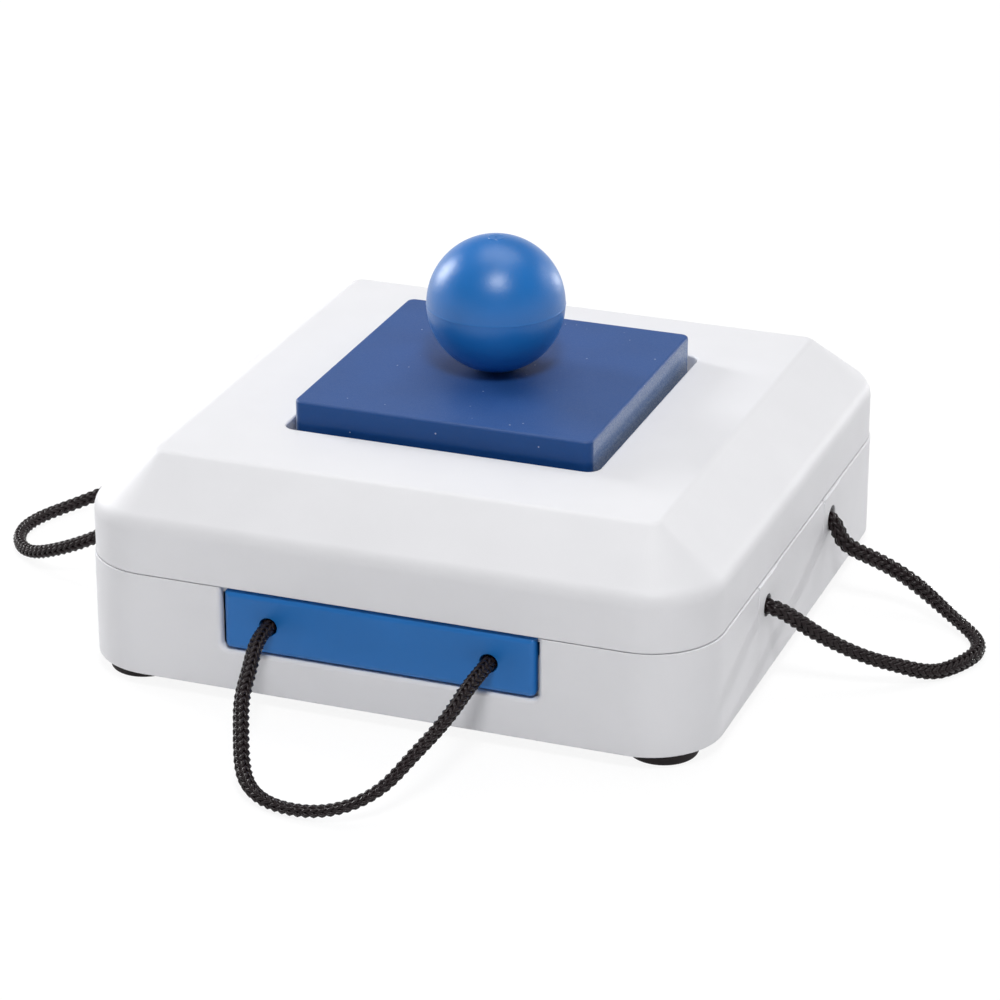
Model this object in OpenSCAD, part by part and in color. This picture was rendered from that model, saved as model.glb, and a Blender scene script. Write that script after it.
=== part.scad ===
// Dog puzzle feeder: a square two-shell box with a treat well under a lid with a ball knob,
// a drawer in the front, and a pull cord on the drawer and on each side.
// Millimetres, +Z up. The origin is on the floor under the middle of the box, and the drawer faces -Y.

/* [Box] */
// Outside width and depth of the square box
body_w = 220; // [208:1:250]
// Radius of the box's upright corners
corner_r = 25; // [24:0.5:34]
// Thickness of the walls of both shells
wall = 3; // [2:0.1:4]
// Thickness of the base's floor
floor_t = 2.5; // [2:0.1:4]
// Height of the base shell
base_h = 36.5; // [34:0.5:44]
// Gap that shows as the line between base and cover
seam_gap = 0.4; // [0.2:0.1:0.8]
// Height of the lip that centres the cover in the base
lip_h = 3; // [2:0.5:5]
// Thickness of that lip
lip_t = 1.6; // [1.2:0.1:2.4]
// Clearance between the lip and the base's wall
lip_gap = 0.25; // [0.15:0.05:0.5]

/* [Cover] */
// Height of the cover's upright wall
cover_wall_h = 18.3; // [14:0.1:26]
// Height of the bevel over that wall
bevel_h = 17.2; // [14:0.1:20]
// Width of the bevel, seen from above
bevel_w = 21.8; // [18:0.1:22]
// Depth of the treat well below the top face
well_depth = 20; // [14:0.5:26]
// Thickness of the well's walls and floor
well_t = 2.2; // [1.6:0.1:3]

/* [Lid] */
// Width and depth of the square lid
lid_w = 105.8; // [90:0.2:112]
// Height of the lid over the cover's top face
lid_proud = 9; // [6:0.5:14]
// Radius of the lid's upright corners
lid_corner_r = 3; // [2.8:0.1:8]
// Thickness of the lid's skirt
lid_skirt_t = 2.4; // [1.6:0.1:2.6]
// Thickness of the lid's top
lid_top_t = 3; // [2:0.1:5]
// Gap all round between the lid and its well
lid_gap = 2.9; // [1.5:0.1:5]
// Gap under the lid's skirt
lid_seat_gap = 0.1; // [0.05:0.05:0.3]

/* [Ball knob] */
// Diameter of the ball
ball_d = 47.5; // [40:0.5:60]
// Thickness of the ball's shells
ball_t = 2.5; // [2:0.1:3.5]
// Diameter of the small flat on which the ball stands
ball_flat_d = 8; // [6:0.5:10]
// Height of the lip that joins the two halves
ball_lip_h = 3; // [2:0.5:4]
// Clearance between that lip and the upper half
ball_lip_gap = 0.2; // [0.1:0.05:0.4]
// Diameter of the screw boss inside the ball
ball_boss_d = 11; // [9:0.5:14]
// Height of that boss
ball_boss_h = 17; // [15:0.5:18]

/* [Drawer] */
// Width of the drawer's front
drawer_w = 108.6; // [100:0.2:116]
// Height of the drawer's underside over the base's underside
drawer_up = 15; // [12:0.5:17]
// Gap at each end of the drawer's front
drawer_gap = 1.2; // [0.4:0.1:1.6]
// Gap between the drawer's front and the cover
drawer_top_gap = 1; // [0.4:0.1:1.4]
// Gap under the drawer's front
drawer_low_gap = 0.5; // [0.3:0.1:1]
// Thickness of the drawer's front
front_t = 4; // [3:0.1:6]
// How far the front reaches past the tray at each end
front_lap = 1.2; // [1:0.1:3]
// Length of the tray behind the front
tray_len = 120; // [90:1:140]
// Thickness of the tray's walls and bottom
tray_t = 2; // [1.5:0.1:3]
// How much lower the tray's walls are than the front
tray_drop = 3.3; // [2:0.1:6]
// Thickness of the rails that guide the drawer
rail_t = 2; // [1.5:0.1:3]
// Height of the rails over the drawer's underside
rail_h = 13; // [8:0.5:18]
// Width of the ledges that carry the drawer
ledge_w = 4; // [2.5:0.5:8]
// Clearance of the drawer in its rails and on its ledges
slide_gap = 0.3; // [0.1:0.05:0.5]

/* [Cords] */
// Diameter of the braided cords
cord_d = 5.2; // [4:0.2:6]
// Clearance of the cord in the drawer's holes
drawer_cord_gap = 0.5; // [0.3:0.05:0.8]
// Clearance of a cord in the side holes
side_cord_gap = 2; // [1.2:0.1:2.2]
// Distance from each end of the drawer's front to its cord hole
drawer_cord_in = 15.8; // [14:0.2:24]
// Height of the drawer's cord holes over its underside
drawer_cord_up = 10.1; // [9.5:0.1:12]
// Distance between the two cord holes of a side wall
side_cord_pitch = 77; // [66:0.5:90]
// Height of the side cord holes over the base's underside
side_cord_up = 26; // [20:0.1:27]
// Width of the raised pad round each side hole
pad_w = 19.4; // [15:0.2:26]
// How far a pad stands out of the wall
pad_t = 0.4; // [0.2:0.1:1]
// How far a pad reaches below its hole
pad_low = 10.5; // [7:0.5:12]
// Diameter of the knots
knot_d = 12; // [11:0.5:13]
// How far a knot reaches past its hole's edge
knot_bite = 0.8; // [0.5:0.1:1]
// Length of the cord's tail behind a knot
knot_tail = 5; // [3:0.5:8]

/* [Feet] */
// Diameter of the feet
foot_d = 23.5; // [16:0.5:26]
// Height of the feet
foot_h = 5; // [4:0.5:10]
// Distance from the box's sides to a foot's centre
foot_in = 18; // [17:0.5:24]
// Chamfer round a foot's underside
foot_chamfer = 0.8; // [0.4:0.1:1.5]
// Diameter of the stem that holds a foot in the base
stem_d = 8; // [6:0.5:10]
// Clearance of the stem in its hole
stem_gap = 0.05; // [0.02:0.01:0.1]
// How far a stem ends below the top of the base's floor
stem_short = 0.2; // [0.1:0.1:0.8]

/* [Screws] */
// Diameter of the screws
screw_d = 4; // [3:0.1:4.4]
// Diameter of the screw heads
head_d = 7.6; // [6.5:0.1:8.4]
// Height of the screw heads
head_h = 2.8; // [2:0.1:3.4]
// Clearance of a screw in the piece that it passes through
screw_gap = 0.25; // [0.15:0.05:0.4]
// Clearance of a screw in the boss that holds it
thread_gap = 0.03; // [0.01:0.01:0.06]
// How far a screw reaches into the boss that holds it
screw_grip = 12; // [8:0.5:13]
// Depth of the pilot hole past a screw's end
pilot_extra = 2; // [1:0.5:3]
// Width of the cross in the screw heads
cross_w = 1.1; // [0.8:0.1:1.4]
// Length of the cross in the screw heads
cross_len = 4.6; // [3.6:0.1:5]
// Depth of the cross in the screw heads
cross_depth = 1.6; // [1:0.1:1.8]
// Diameter of the washer under the knob's screw
washer_d = 13; // [10:0.5:18]
// Thickness of that washer
washer_t = 1; // [0.6:0.1:1.6]
// Distance from the box's sides to the case screws
case_screw_side = 38; // [34:0.5:40]
// Distance from the box's front and back to the case screws
case_screw_end = 18; // [16:0.5:20]
// Diameter of the base's screw posts
post_d = 11.6; // [11:0.2:13]
// Diameter of the cover's screw bosses
boss_d = 10; // [8:0.2:11]
// Depth of the hole that takes a case screw's head
head_sink = 6; // [4:0.5:10]

/* [Hidden] */
$fn = 96;

// Colours of the pieces
white_plastic = [0.88, 0.88, 0.9];
navy_plastic = [0.15, 0.22, 0.42];
blue_plastic = [0.18, 0.4, 0.68];
black_braid = [0.12, 0.11, 0.12];
black_rubber = [0.09, 0.08, 0.09];
zinc = [0.7, 0.71, 0.73];

// Cutting shapes reach this far past what they cut
over = 1;
// Sides of a cord's tube
cord_sides = 10;
// A cord runs straight this far from its knot
cord_lead = 2;

// Heights over the floor
base_z = foot_h;
base_top = base_z + base_h;
cover_z = base_top + seam_gap;
bevel_z = cover_z + cover_wall_h;
top_z = bevel_z + bevel_h;
well_z = top_z - well_depth;
lid_z = well_z + lid_seat_gap;
lid_top = top_z + lid_proud;
lid_under = lid_top - lid_top_t;
drawer_z = base_z + drawer_up;
drawer_cord_z = drawer_z + drawer_cord_up;
side_cord_z = base_z + side_cord_up;

// Plan sizes
half = body_w / 2;
corner_at = half - corner_r;
well_w = lid_w + 2 * lid_gap;
well_corner_r = lid_corner_r + lid_gap / 2;
front_h = cover_z - drawer_top_gap - drawer_z;
tray_w = drawer_w - 2 * front_lap;
tray_h = front_h - tray_drop;
tray_back = front_t - half + tray_len;
rail_in = tray_w / 2 + slide_gap;
rail_front = front_t - half + slide_gap;
rail_back = tray_back + slide_gap;
drawer_cord_at = drawer_w / 2 - drawer_cord_in;
side_cord_at = side_cord_pitch / 2;
foot_at = half - foot_in;
case_screw_x = half - case_screw_side;
case_screw_y = half - case_screw_end;

// The cover's inner bevel runs parallel to its outer one
bevel_slope = bevel_w / bevel_h;
bevel_start = wall / bevel_slope - wall * sqrt(1 + 1 / bevel_slope ^ 2);
inner_bevel_h = bevel_h - wall - bevel_start;
inner_bevel_w = inner_bevel_h * bevel_slope;

// Round pieces
ball_r = ball_d / 2;
ball_low = sqrt(ball_r ^ 2 - (ball_flat_d / 2) ^ 2);
ball_z = lid_top + ball_low;
ball_in_r = ball_r - ball_t;
ball_lip_r = sqrt(ball_in_r ^ 2 - ball_lip_h ^ 2) - ball_lip_gap;
cord_r = cord_d / 2;
drawer_hole_r = cord_r + drawer_cord_gap;
side_hole_r = cord_r + side_cord_gap;
knot_r = knot_d / 2;

// Points of each cord between its two holes: distance out from the wall, place along the wall,
// height over the floor. The front one hangs from left to right, and the side ones from rear to front.
// All three rest on the floor at the tip.
front_loop = [
    [11.5, -37.6, 29], [22, -35.5, 25.2], [32, -33.6, 20.3], [41.5, -30, 14.7], [50.5, -25.9, 9.1],
    [57.5, -21.4, 5.4], [62.5, -15.4, 3.4], [66, -4.6, 2.7], [66, 6.7, 3.6], [62.8, 17.3, 6.6],
    [56.5, 25.5, 11.6], [48.2, 30.6, 17.5], [38.7, 34.6, 22.3], [28.1, 37, 26.1], [17, 37.9, 28.9],
    [8, 38.4, 30]
];
right_loop = [
    [1, 37.7, 30.2], [3.2, 36.3, 28], [5.1, 35.4, 25.1], [8.6, 35.3, 22.4], [13.2, 36.1, 20.2],
    [22, 37.3, 16.3], [30.7, 36.6, 12.2], [39, 33.6, 8.2], [46.8, 28.9, 5.2], [54.2, 22.8, 3.6],
    [59.2, 16, 3], [60.6, 8.6, 2.8], [58.6, 0.5, 2.7], [54.2, -7.8, 2.7], [48.7, -13.6, 3.7],
    [41.2, -18.9, 6.8], [33.4, -23.6, 10.1], [25.6, -27.7, 14.2], [18.1, -31.5, 19.1],
    [11.5, -34.8, 24.3], [6.1, -37.1, 28.5], [2, -38.3, 30.5]
];
left_loop = [
    [12.5, 38, 28.5], [24, 36, 23.5], [34.5, 32.5, 17.5], [44, 27, 11], [53.5, 20.5, 6.2],
    [62, 11.5, 3.6], [68, 0, 2.8], [69, -12, 2.8], [64.5, -23.5, 3.2], [55.5, -32.5, 4.8],
    [45, -37.5, 8.8], [33.5, -39.5, 14], [22.5, -39.5, 20], [12, -38.8, 27.2]
];

// A cord's whole line, from behind one hole to behind the other
function cord_line(loop, start, height, depth) = concat(
    [[-depth, start, height], [cord_lead - depth, start, height]],
    loop,
    [[cord_lead - depth, -start, height], [-depth, -start, height]]
);

function unit(v) = v / norm(v);
function heading(line, i) = unit(line[min(i + 1, len(line) - 1)] - line[max(i - 1, 0)]);

// Points of one ring of a tube, square to the line
function ring(line, i, r, sides) =
    let (
        ahead = heading(line, i),
        side = unit(cross([0, 0, 1], ahead)),
        up = cross(ahead, side)
    )
    [for (k = [0 : sides - 1]) line[i] + r * (cos(360 * k / sides) * side + sin(360 * k / sides) * up)];

// A closed tube along a line
module tube(line, r, sides) {
    last = (len(line) - 1) * sides;
    points = [for (i = [0 : len(line) - 1]) each ring(line, i, r, sides)];
    start_cap = [for (k = [1 : sides - 2]) [0, k, k + 1]];
    end_cap = [for (k = [1 : sides - 2]) [last, last + k + 1, last + k]];
    skin = [
        for (i = [0 : len(line) - 2])
            for (k = [0 : sides - 1])
                let (
                    a = i * sides + k,
                    b = i * sides + (k + 1) % sides
                )
                each [[a, a + sides, b + sides], [a, b + sides, b]]
    ];
    polyhedron(points, concat(start_cap, skin, end_cap));
}

// Copies at the four corners of a rectangle round the origin
module at_corners(x, y) {
    for (sx = [-1, 1])
        for (sy = [-1, 1])
            translate([sx * x, sy * y, 0])
                children();
}

module rounded_square(w, r) {
    square([w, w - 2 * r], center = true);
    square([w - 2 * r, w], center = true);
    at_corners(w / 2 - r, w / 2 - r)
        circle(r);
}

module rounded_block(w, r, z0, z1) {
    translate([0, 0, z0])
        linear_extrude(z1 - z0)
            rounded_square(w, r);
}

// A rounded block whose four sides lean in by the same amount
module bevel_block(w, r, lean, h) {
    side = [[-w / 2, 0], [w / 2, 0], [w / 2 - lean, h], [lean - w / 2, h]];
    for (turn = [0, 90])
        rotate([90, 0, turn])
            linear_extrude(w - 2 * r, center = true)
                polygon(side);
    at_corners(w / 2 - r, w / 2 - r)
        cylinder(h, r, r - lean);
}

// A block given by its lowest and highest corners
module box(low, high) {
    translate(low)
        cube(high - low);
}

module upright(x, y, r, z0, z1) {
    translate([x, y, z0])
        cylinder(z1 - z0, r, r);
}

// The drawer's rails with their ledges, and the stop behind it
module drawer_rails() {
    for (s = [0, 1])
        mirror([s, 0, 0]) {
            box([rail_in, rail_front, base_z], [rail_in + rail_t, rail_back + rail_t, drawer_z + rail_h]);
            box(
                [rail_in - ledge_w, rail_front, base_z],
                [rail_in + over, rail_back + over, drawer_z - slide_gap]
            );
        }
    box([-rail_in - rail_t, rail_back, base_z], [rail_in + rail_t, rail_back + rail_t, drawer_z + rail_h]);
}

module cord_pads() {
    for (s = [0, 1])
        mirror([s, 0, 0])
            for (y = [-side_cord_at, side_cord_at])
                box(
                    [half - wall / 2, y - pad_w / 2, side_cord_z - pad_low],
                    [half + pad_t, y + pad_w / 2, base_top]
                );
}

module side_cord_holes() {
    for (y = [-side_cord_at, side_cord_at])
        translate([-half - over, y, side_cord_z])
            rotate([0, 90, 0])
                cylinder(body_w + 2 * over, side_hole_r, side_hole_r);
}

module base_shell() {
    color(white_plastic)
        difference() {
            union() {
                rounded_block(body_w, corner_r, base_z, base_top);
                cord_pads();
            }
            difference() {
                rounded_block(body_w - 2 * wall, corner_r - wall, base_z + floor_t, base_top + over);
                at_corners(case_screw_x, case_screw_y)
                    upright(0, 0, post_d / 2, base_z, base_top);
                drawer_rails();
            }
            box(
                [-drawer_w / 2 - drawer_gap, -half - over, drawer_z - drawer_low_gap],
                [drawer_w / 2 + drawer_gap, wall - half, base_top + over]
            );
            side_cord_holes();
            at_corners(case_screw_x, case_screw_y) {
                upright(0, 0, screw_d / 2 + screw_gap, base_z - over, base_top + over);
                upright(0, 0, head_d / 2 + screw_gap, base_z - over, base_z + head_sink);
            }
            at_corners(foot_at, foot_at)
                upright(0, 0, stem_d / 2 + stem_gap, base_z - over, base_z + floor_t + over);
        }
}

// The ring that hangs from the cover into the base, open where the drawer passes
module cover_lip() {
    lip_w = body_w - 2 * (wall + lip_gap);
    lip_r = corner_r - wall - lip_gap;
    difference() {
        union() {
            rounded_block(lip_w, lip_r, cover_z - lip_h, cover_z + lip_h);
            rounded_block(body_w - wall, corner_r - wall / 2, cover_z, cover_z + lip_h);
        }
        rounded_block(lip_w - 2 * lip_t, lip_r - lip_t, cover_z - lip_h - over, cover_z + lip_h + over);
        box(
            [-drawer_w / 2 - drawer_gap, -half - over, cover_z - lip_h - over],
            [drawer_w / 2 + drawer_gap, 0, cover_z]
        );
    }
}

module top_cover() {
    well_out = well_w + 2 * well_t;
    color(white_plastic)
        difference() {
            union() {
                difference() {
                    union() {
                        rounded_block(body_w, corner_r, cover_z, bevel_z);
                        translate([0, 0, bevel_z])
                            bevel_block(body_w, corner_r, bevel_w, bevel_h);
                    }
                    difference() {
                        union() {
                            rounded_block(
                                body_w - 2 * wall, corner_r - wall, cover_z - over, bevel_z + bevel_start
                            );
                            translate([0, 0, bevel_z + bevel_start])
                                bevel_block(body_w - 2 * wall, corner_r - wall, inner_bevel_w, inner_bevel_h);
                        }
                        rounded_block(well_out, well_corner_r + well_t, well_z - well_t, top_z);
                        at_corners(case_screw_x, case_screw_y)
                            upright(0, 0, boss_d / 2, base_top, top_z);
                    }
                }
                cover_lip();
                at_corners(case_screw_x, case_screw_y)
                    upright(0, 0, boss_d / 2, base_top, cover_z + lip_h);
            }
            rounded_block(well_w, well_corner_r, well_z, top_z + over);
            at_corners(case_screw_x, case_screw_y)
                upright(0, 0, screw_d / 2 + thread_gap, base_top - over, base_top + screw_grip + pilot_extra);
        }
}

module lid_plate() {
    color(navy_plastic)
        difference() {
            rounded_block(lid_w, lid_corner_r, lid_z, lid_top);
            rounded_block(lid_w - 2 * lid_skirt_t, lid_corner_r - lid_skirt_t, lid_z - over, lid_under);
            upright(0, 0, screw_d / 2 + screw_gap, lid_under - over, lid_top + over);
        }
}

module ball_shell() {
    difference() {
        sphere(ball_r);
        sphere(ball_in_r);
    }
}

module ball_lower_half() {
    reach = ball_r + over;
    color(blue_plastic)
        translate([0, 0, ball_z])
            difference() {
                union() {
                    difference() {
                        ball_shell();
                        box([-reach, -reach, 0], [reach, reach, reach]);
                    }
                    difference() {
                        upright(0, 0, ball_lip_r, -2 * ball_lip_h, ball_lip_h);
                        upright(0, 0, ball_lip_r - ball_t, -2 * ball_lip_h - over, ball_lip_h + over);
                    }
                    upright(0, 0, ball_boss_d / 2, ball_t / 2 - ball_r, ball_boss_h - ball_low);
                }
                box([-reach, -reach, -reach], [reach, reach, -ball_low]);
                upright(0, 0, screw_d / 2 + thread_gap, -reach, screw_grip + pilot_extra - ball_low);
            }
}

module ball_upper_half() {
    reach = ball_r + over;
    color(blue_plastic)
        translate([0, 0, ball_z])
            difference() {
                ball_shell();
                box([-reach, -reach, -reach], [reach, reach, 0]);
            }
}

// A screw that points up, with the seat of its head at the given height
module screw(seat, tip) {
    difference() {
        union() {
            upright(0, 0, head_d / 2, seat - head_h, seat);
            upright(0, 0, screw_d / 2, seat - head_h / 2, tip);
        }
        for (turn = [0, 90])
            rotate([0, 0, turn])
                box(
                    [-cross_len / 2, -cross_w / 2, seat - head_h - over],
                    [cross_len / 2, cross_w / 2, seat - head_h + cross_depth]
                );
    }
}

module knob_screw() {
    color(zinc)
        screw(lid_under - washer_t, lid_top + screw_grip);
}

module knob_washer() {
    color(zinc)
        difference() {
            upright(0, 0, washer_d / 2, lid_under - washer_t, lid_under);
            upright(0, 0, screw_d / 2 + screw_gap, lid_under - washer_t - over, lid_under + over);
        }
}

module case_screws() {
    color(zinc)
        at_corners(case_screw_x, case_screw_y)
            screw(base_z + head_sink, base_top + screw_grip);
}

module drawer() {
    front_in = front_t - half;
    color(blue_plastic)
        difference() {
            union() {
                box([-drawer_w / 2, -half, drawer_z], [drawer_w / 2, front_in, drawer_z + front_h]);
                box([-tray_w / 2, front_in - over, drawer_z], [tray_w / 2, tray_back, drawer_z + tray_h]);
            }
            box(
                [tray_t - tray_w / 2, front_in, drawer_z + tray_t],
                [tray_w / 2 - tray_t, tray_back - tray_t, drawer_z + front_h + over]
            );
            for (x = [-drawer_cord_at, drawer_cord_at])
                translate([x, front_in + over, drawer_cord_z])
                    rotate([90, 0, 0])
                        cylinder(front_t + 2 * over, drawer_hole_r, drawer_hole_r);
        }
}

// A knot on +X of the origin's wall face, flat where it bears on the wall round a hole
module knot(hole_r) {
    knot_in = sqrt(knot_r ^ 2 - (hole_r + knot_bite) ^ 2);
    color(black_braid)
        difference() {
            union() {
                translate([knot_in, 0, 0])
                    sphere(knot_r);
                rotate([0, 90, 0])
                    cylinder(knot_in + knot_r + knot_tail, cord_r, cord_r);
            }
            box([-knot_d, -knot_d, -knot_d], [0, knot_d, knot_d]);
        }
}

module front_knot(side) {
    translate([side * drawer_cord_at, front_t - half, drawer_cord_z])
        rotate([0, 0, 90])
            knot(drawer_hole_r);
}

module side_knot(side, end) {
    translate([side * (half - wall), end * side_cord_at, side_cord_z])
        rotate([0, 0, 90 + side * 90])
            knot(side_hole_r);
}

module front_cord() {
    line = cord_line(front_loop, -drawer_cord_at, drawer_cord_z, front_t);
    color(black_braid)
        tube([for (p = line) [p[1], -half - p[0], p[2]]], cord_r, cord_sides);
}

module side_cord(loop, side) {
    line = cord_line(loop, side_cord_at, side_cord_z, wall);
    color(black_braid)
        tube([for (p = line) [side * (half + p[0]), p[1], p[2]]], cord_r, cord_sides);
}

module foot(sx, sy) {
    color(black_rubber)
        translate([sx * foot_at, sy * foot_at, 0]) {
            cylinder(foot_chamfer, foot_d / 2 - foot_chamfer, foot_d / 2);
            upright(0, 0, foot_d / 2, foot_chamfer, foot_h);
            upright(0, 0, stem_d / 2, foot_h / 2, base_z + floor_t - stem_short);
        }
}

base_shell();
top_cover();
lid_plate();
ball_lower_half();
ball_upper_half();
knob_screw();
knob_washer();
drawer();
front_cord();
front_knot(-1);  // front_knot_left
front_knot(1);  // front_knot_right
side_cord(right_loop, 1);  // right_cord
side_knot(1, -1);  // right_knot_front
side_knot(1, 1);  // right_knot_rear
side_cord(left_loop, -1);  // left_cord
side_knot(-1, -1);  // left_knot_front
side_knot(-1, 1);  // left_knot_rear
foot(-1, -1);  // foot_front_left
foot(1, -1);  // foot_front_right
foot(-1, 1);  // foot_rear_left
foot(1, 1);  // foot_rear_right
case_screws();
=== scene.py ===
"""Looks of the dog puzzle feeder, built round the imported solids.

Sizes are in millimetres until raw() turns them into metres. The camera and the lamps are in metres.
"""
import math

import bpy
import numpy as np
from mathutils import Matrix, Quaternion, Vector


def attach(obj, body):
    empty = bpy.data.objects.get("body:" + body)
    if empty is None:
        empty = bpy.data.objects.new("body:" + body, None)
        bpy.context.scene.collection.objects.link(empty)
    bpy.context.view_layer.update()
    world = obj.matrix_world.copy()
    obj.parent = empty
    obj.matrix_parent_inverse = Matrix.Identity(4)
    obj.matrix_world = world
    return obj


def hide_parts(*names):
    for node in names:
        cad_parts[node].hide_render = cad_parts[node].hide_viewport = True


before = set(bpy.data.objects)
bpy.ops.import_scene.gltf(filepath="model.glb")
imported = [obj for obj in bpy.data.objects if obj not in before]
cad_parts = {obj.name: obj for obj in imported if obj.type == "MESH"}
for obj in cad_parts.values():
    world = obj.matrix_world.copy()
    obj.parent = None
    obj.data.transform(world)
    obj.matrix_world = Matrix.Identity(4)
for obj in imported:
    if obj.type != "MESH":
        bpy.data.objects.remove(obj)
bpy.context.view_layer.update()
scene = bpy.context.scene
scene.view_settings.view_transform = "Standard"
MM = 0.001

# Sizes that the solids have too
HALF = 110.0
WALL_T = 3.0
FLOOR_GAP = 5.0
FLOOR_TOP = 7.5
BASE_TOP = 41.5
BEVEL_Z = 60.2
TOP_Z = 77.4
TOP_HALF = 88.2
WELL_HALF = 55.8
WELL_Z = 57.4
LID_HALF = 52.9
LID_Z = 57.5
LID_TOP = 86.4
BALL_R = 23.75
BALL_IN = 21.25
BALL_Z = 109.81
DRAWER_Z = 20.0
DRAWER_HALF = 54.3
DRAWER_TOP = 40.9
DRAWER_FRONT_T = 4.0
OPENING_HALF = 55.5
CORD_D = 5.2
CORD_AT = 38.5
DRAWER_CORD_Z = 30.1
SIDE_CORD_Z = 31.0
DRAWER_HOLE_R = 3.1
PAD_T = 0.4
PAD_Z = 20.5
PAD_HALF = 9.7
FOOT_AT = 92.0
FOOT_R = 11.75
SCREW_AT = (72.0, 92.0)

# Height and radius of the side holes at the front and at the rear
SIDE_HOLES = {-1: (31.2, 3.9), 1: (31.0, 4.6)}

# Half width of the small face that closes a plate in its middle
HUB = 6.0

# Camera of the photograph
AIM = Vector((0, 0, 0.03967))
AZIMUTH, ELEVATION, DISTANCE = math.radians(20.505), math.radians(23.302), 1.3239
away = Vector((
    math.sin(AZIMUTH) * math.cos(ELEVATION),
    -math.cos(AZIMUTH) * math.cos(ELEVATION),
    math.sin(ELEVATION),
))
lens = bpy.data.cameras.new("camera")
lens.lens = 137.12
lens.sensor_width = 36
lens.shift_x = 0.0040
lens.shift_y = -0.0079
lens.clip_start = 0.05
lens.clip_end = 20
camera = bpy.data.objects.new("camera", lens)
camera.location = AIM + away * DISTANCE
camera.rotation_euler = (-away).to_track_quat("-Z", "Y").to_euler()
scene.collection.objects.link(camera)
scene.camera = camera


# Node materials
def material(name):
    """A new node material, with its nodes, its links and its main shader."""
    made = bpy.data.materials.new(name)
    made.use_nodes = True
    nodes = made.node_tree.nodes
    return made, nodes, made.node_tree.links, nodes["Principled BSDF"]


def node(nodes, kind, **values):
    """A new node with some of its settings or inputs given by name."""
    made = nodes.new(kind)
    for key, value in values.items():
        if hasattr(made, key):
            setattr(made, key, value)
        else:
            made.inputs[key.replace("_", " ")].default_value = value
    return made


def noise(nodes, links, scale, detail=2.0, rough=0.5):
    """A noise over the piece's own place, with scale in waves per metre."""
    place = nodes.new("ShaderNodeTexCoord")
    made = node(nodes, "ShaderNodeTexNoise", Scale=scale, Detail=detail, Roughness=rough)
    links.new(place.outputs["Object"], made.inputs["Vector"])
    return made.outputs["Fac"]


def spread(nodes, links, fac, low, high, start=0.3, end=0.7):
    """fac from start to end becomes low to high."""
    made = node(nodes, "ShaderNodeMapRange")
    for key, value in zip(("From Min", "From Max", "To Min", "To Max"), (start, end, low, high)):
        made.inputs[key].default_value = value
    links.new(fac, made.inputs["Value"])
    return made.outputs["Result"]


def mix(nodes, links, fac, first, second):
    """A blend of two colours, each of them plain or from another node."""
    made = node(nodes, "ShaderNodeMix", data_type="RGBA")
    links.new(fac, made.inputs[0])
    for socket, value in ((made.inputs[6], first), (made.inputs[7], second)):
        if isinstance(value, bpy.types.NodeSocket):
            links.new(value, socket)
        else:
            socket.default_value = (*value, 1)
    return made.outputs[2]


def combine(nodes, links, operation, first, second):
    """One value made from two."""
    made = node(nodes, "ShaderNodeMath", operation=operation)
    links.new(first, made.inputs[0])
    links.new(second, made.inputs[1])
    return made.outputs[0]


def specked(nodes, links, skin, share, colour):
    """Scatters a few small flecks of another colour over a skin."""
    place = nodes.new("ShaderNodeTexCoord")
    cells = node(nodes, "ShaderNodeTexVoronoi", Scale=220.0)
    links.new(place.outputs["Object"], cells.inputs["Vector"])
    dot = spread(nodes, links, cells.outputs["Distance"], 1, 0, 0.05, 0.075)
    parts = nodes.new("ShaderNodeSeparateColor")
    links.new(cells.outputs["Color"], parts.inputs["Color"])
    few = spread(nodes, links, parts.outputs["Red"], 0, share, 0.60, 0.62)
    return mix(nodes, links, combine(nodes, links, "MULTIPLY", dot, few), skin, colour)


# Upward share of a face's normal at which it has the finish of a top
TOP_FROM = 0.6


def smooth_walls(nodes, links, shader, bump, finish, fine, shine, walls):
    """Makes upright faces smoother than the top, with a grainy sheen, and returns the roughness."""
    wall_rough, wall_shine, sheen = walls
    place = nodes.new("ShaderNodeTexCoord")
    axes = nodes.new("ShaderNodeSeparateXYZ")
    links.new(place.outputs["Normal"], axes.inputs[0])
    up = axes.outputs["Z"]
    links.new(spread(nodes, links, up, wall_shine, shine, 0, TOP_FROM), shader.inputs["Specular IOR Level"])
    upright = spread(nodes, links, up, sheen, 0, 0, TOP_FROM)
    glint = combine(nodes, links, "MULTIPLY", upright, spread(nodes, links, fine, 0.2, 1.0))
    links.new(glint, shader.inputs["Sheen Weight"])
    shader.inputs["Sheen Roughness"].default_value = 0.35
    shader.inputs["Sheen Tint"].default_value = (0.80, 0.90, 1, 1)
    links.new(spread(nodes, links, up, 0.3, 1.0, 0, TOP_FROM), bump.inputs["Strength"])
    by_face = node(nodes, "ShaderNodeMapRange")
    by_face.inputs["From Max"].default_value = TOP_FROM
    by_face.inputs["To Min"].default_value = wall_rough
    links.new(up, by_face.inputs["Value"])
    links.new(finish, by_face.inputs["To Max"])
    return by_face.outputs["Result"]


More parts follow.
